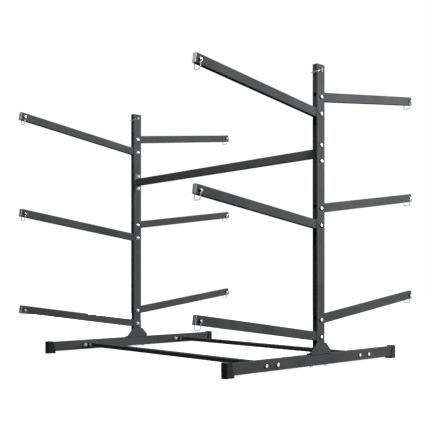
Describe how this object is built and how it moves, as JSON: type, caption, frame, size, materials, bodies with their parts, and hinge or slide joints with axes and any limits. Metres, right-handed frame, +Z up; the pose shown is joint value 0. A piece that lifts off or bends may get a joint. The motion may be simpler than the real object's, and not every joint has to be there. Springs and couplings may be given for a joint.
{
  "type": "kayak rack",
  "caption": "Freestanding two-frame rack with sloping arms on both sides that hold kayaks, tied by crossbars, with wire lock pins at the arm tips and post tops.",
  "frame": {"origin": "on the floor, midway between the two frames and on the line of their posts", "axes": "+X along the arms to the side whose arms sit higher, +Y from the near frame to the far one, +Z up"},
  "size_m": [1.6502, 1.5586, 1.5],
  "materials": {
    "frame_paint": "dark grey powder coat, satin",
    "bar_paint": "dark grey powder coat, satin",
    "cap_plastic": "moulded black, matte",
    "plug_plastic": "moulded grey, matte",
    "zinc_steel": "bright zinc plate"
  },
  "bodies": {
    "rack": {"near_post": "frame_paint", "far_post": "frame_paint", "post_plugs": "cap_plastic", "near_foot": "frame_paint", "far_foot": "frame_paint", "near_left_cap": "cap_plastic", "near_right_cap": "cap_plastic", "far_left_cap": "cap_plastic", "far_right_cap": "cap_plastic", "near_left_arm_top": "frame_paint", "near_left_arm_middle": "frame_paint", "near_left_arm_low": "frame_paint", "near_right_arm_top": "frame_paint", "near_right_arm_middle": "frame_paint", "near_right_arm_low": "frame_paint", "far_left_arm_top": "frame_paint", "far_left_arm_middle": "frame_paint", "far_left_arm_low": "frame_paint", "far_right_arm_top": "frame_paint", "far_right_arm_middle": "frame_paint", "far_right_arm_low": "frame_paint", "arm_plugs": "plug_plastic", "upper_crossbar": "bar_paint", "left_lower_bar": "bar_paint", "right_lower_bar": "bar_paint", "bar_brackets": "bar_paint", "arm_bolts": "zinc_steel", "bar_bolts": "zinc_steel", "base_bolts": "zinc_steel", "lock_bolts": "zinc_steel", "nuts": "zinc_steel"},
    "near_left_pin_top": {"near_left_pin_top": "zinc_steel"},
    "near_left_bail_top": {"near_left_bail_top": "zinc_steel"},
    "near_left_pin_middle": {"near_left_pin_middle": "zinc_steel"},
    "near_left_bail_middle": {"near_left_bail_middle": "zinc_steel"},
    "near_left_pin_low": {"near_left_pin_low": "zinc_steel"},
    "near_left_bail_low": {"near_left_bail_low": "zinc_steel"},
    "near_right_pin_top": {"near_right_pin_top": "zinc_steel"},
    "near_right_bail_top": {"near_right_bail_top": "zinc_steel"},
    "near_right_pin_middle": {"near_right_pin_middle": "zinc_steel"},
    "near_right_bail_middle": {"near_right_bail_middle": "zinc_steel"},
    "near_right_pin_low": {"near_right_pin_low": "zinc_steel"},
    "near_right_bail_low": {"near_right_bail_low": "zinc_steel"},
    "far_left_pin_top": {"far_left_pin_top": "zinc_steel"},
    "far_left_bail_top": {"far_left_bail_top": "zinc_steel"},
    "far_left_pin_middle": {"far_left_pin_middle": "zinc_steel"},
    "far_left_bail_middle": {"far_left_bail_middle": "zinc_steel"},
    "far_left_pin_low": {"far_left_pin_low": "zinc_steel"},
    "far_left_bail_low": {"far_left_bail_low": "zinc_steel"},
    "far_right_pin_top": {"far_right_pin_top": "zinc_steel"},
    "far_right_bail_top": {"far_right_bail_top": "zinc_steel"},
    "far_right_pin_middle": {"far_right_pin_middle": "zinc_steel"},
    "far_right_bail_middle": {"far_right_bail_middle": "zinc_steel"},
    "far_right_pin_low": {"far_right_pin_low": "zinc_steel"},
    "far_right_bail_low": {"far_right_bail_low": "zinc_steel"},
    "near_post_pin": {"near_post_pin": "zinc_steel", "near_post_bail": "zinc_steel"},
    "far_post_pin": {"far_post_pin": "zinc_steel", "far_post_bail": "zinc_steel"}
  },
  "joints": [
    {"name": "near_left_pin_top_roll", "type": "hinge", "parent": "rack", "child": "near_left_pin_top", "pos_m": [-0.79736, -0.754, 1.36564], "axis": [0, 1, 0], "range_deg": [-40, 230]},
    {"name": "near_left_bail_top_open", "type": "hinge", "parent": "near_left_pin_top", "child": "near_left_bail_top", "pos_m": [-0.79736, -0.7701, 1.36564], "axis": [-0.9945, 0, 0.1045], "range_deg": [0, 170]},
    {"name": "near_left_pin_middle_roll", "type": "hinge", "parent": "rack", "child": "near_left_pin_middle", "pos_m": [-0.79736, -0.754, 0.81364], "axis": [0, 1, 0], "range_deg": [-40, 230]},
    {"name": "near_left_bail_middle_open", "type": "hinge", "parent": "near_left_pin_middle", "child": "near_left_bail_middle", "pos_m": [-0.79736, -0.7701, 0.81364], "axis": [-0.9945, 0, 0.1045], "range_deg": [0, 170]},
    {"name": "near_left_pin_low_roll", "type": "hinge", "parent": "rack", "child": "near_left_pin_low", "pos_m": [-0.79736, -0.754, 0.26164], "axis": [0, 1, 0], "range_deg": [-40, 230]},
    {"name": "near_left_bail_low_open", "type": "hinge", "parent": "near_left_pin_low", "child": "near_left_bail_low", "pos_m": [-0.79736, -0.7701, 0.26164], "axis": [-0.9945, 0, 0.1045], "range_deg": [0, 170]},
    {"name": "near_right_pin_top_roll", "type": "hinge", "parent": "rack", "child": "near_right_pin_top", "pos_m": [0.79736, -0.754, 1.44964], "axis": [0, 1, 0], "range_deg": [-235, 35]},
    {"name": "near_right_bail_top_open", "type": "hinge", "parent": "near_right_pin_top", "child": "near_right_bail_top", "pos_m": [0.79736, -0.7701, 1.44964], "axis": [-0.9945, 0, 0.1045], "range_deg": [0, 170]},
    {"name": "near_right_pin_middle_roll", "type": "hinge", "parent": "rack", "child": "near_right_pin_middle", "pos_m": [0.79736, -0.754, 0.89764], "axis": [0, 1, 0], "range_deg": [-235, 35]},
    {"name": "near_right_bail_middle_open", "type": "hinge", "parent": "near_right_pin_middle", "child": "near_right_bail_middle", "pos_m": [0.79736, -0.7701, 0.89764], "axis": [-0.9945, 0, 0.1045], "range_deg": [0, 170]},
    {"name": "near_right_pin_low_roll", "type": "hinge", "parent": "rack", "child": "near_right_pin_low", "pos_m": [0.79736, -0.754, 0.34564], "axis": [0, 1, 0], "range_deg": [-235, 35]},
    {"name": "near_right_bail_low_open", "type": "hinge", "parent": "near_right_pin_low", "child": "near_right_bail_low", "pos_m": [0.79736, -0.7701, 0.34564], "axis": [-0.9945, 0, 0.1045], "range_deg": [0, 170]},
    {"name": "far_left_pin_top_roll", "type": "hinge", "parent": "rack", "child": "far_left_pin_top", "pos_m": [-0.79736, 0.754, 1.36564], "axis": [0, 1, 0], "range_deg": [-40, 230]},
    {"name": "far_left_bail_top_open", "type": "hinge", "parent": "far_left_pin_top", "child": "far_left_bail_top", "pos_m": [-0.79736, 0.7379, 1.36564], "axis": [-0.9945, 0, 0.1045], "range_deg": [0, 170]},
    {"name": "far_left_pin_middle_roll", "type": "hinge", "parent": "rack", "child": "far_left_pin_middle", "pos_m": [-0.79736, 0.754, 0.81364], "axis": [0, 1, 0], "range_deg": [-40, 230]},
    {"name": "far_left_bail_middle_open", "type": "hinge", "parent": "far_left_pin_middle", "child": "far_left_bail_middle", "pos_m": [-0.79736, 0.7379, 0.81364], "axis": [-0.9945, 0, 0.1045], "range_deg": [0, 170]},
    {"name": "far_left_pin_low_roll", "type": "hinge", "parent": "rack", "child": "far_left_pin_low", "pos_m": [-0.79736, 0.754, 0.26164], "axis": [0, 1, 0], "range_deg": [-40, 230]},
    {"name": "far_left_bail_low_open", "type": "hinge", "parent": "far_left_pin_low", "child": "far_left_bail_low", "pos_m": [-0.79736, 0.7379, 0.26164], "axis": [-0.9945, 0, 0.1045], "range_deg": [0, 170]},
    {"name": "far_right_pin_top_roll", "type": "hinge", "parent": "rack", "child": "far_right_pin_top", "pos_m": [0.79736, 0.754, 1.44964], "axis": [0, 1, 0], "range_deg": [-235, 35]},
    {"name": "far_right_bail_top_open", "type": "hinge", "parent": "far_right_pin_top", "child": "far_right_bail_top", "pos_m": [0.79736, 0.7379, 1.44964], "axis": [-0.9945, 0, 0.1045], "range_deg": [0, 170]},
    {"name": "far_right_pin_middle_roll", "type": "hinge", "parent": "rack", "child": "far_right_pin_middle", "pos_m": [0.79736, 0.754, 0.89764], "axis": [0, 1, 0], "range_deg": [-235, 35]},
    {"name": "far_right_bail_middle_open", "type": "hinge", "parent": "far_right_pin_middle", "child": "far_right_bail_middle", "pos_m": [0.79736, 0.7379, 0.89764], "axis": [-0.9945, 0, 0.1045], "range_deg": [0, 170]},
    {"name": "far_right_pin_low_roll", "type": "hinge", "parent": "rack", "child": "far_right_pin_low", "pos_m": [0.79736, 0.754, 0.34564], "axis": [0, 1, 0], "range_deg": [-235, 35]},
    {"name": "far_right_bail_low_open", "type": "hinge", "parent": "far_right_pin_low", "child": "far_right_bail_low", "pos_m": [0.79736, 0.7379, 0.34564], "axis": [-0.9945, 0, 0.1045], "range_deg": [0, 170]},
    {"name": "near_post_pin_roll", "type": "hinge", "parent": "rack", "child": "near_post_pin", "pos_m": [0, -0.754, 1.475], "axis": [0, 1, 0], "range_deg": [-15, 238]},
    {"name": "far_post_pin_roll", "type": "hinge", "parent": "rack", "child": "far_post_pin", "pos_m": [0, 0.754, 1.475], "axis": [0, 1, 0], "range_deg": [-15, 238]}
  ]
}
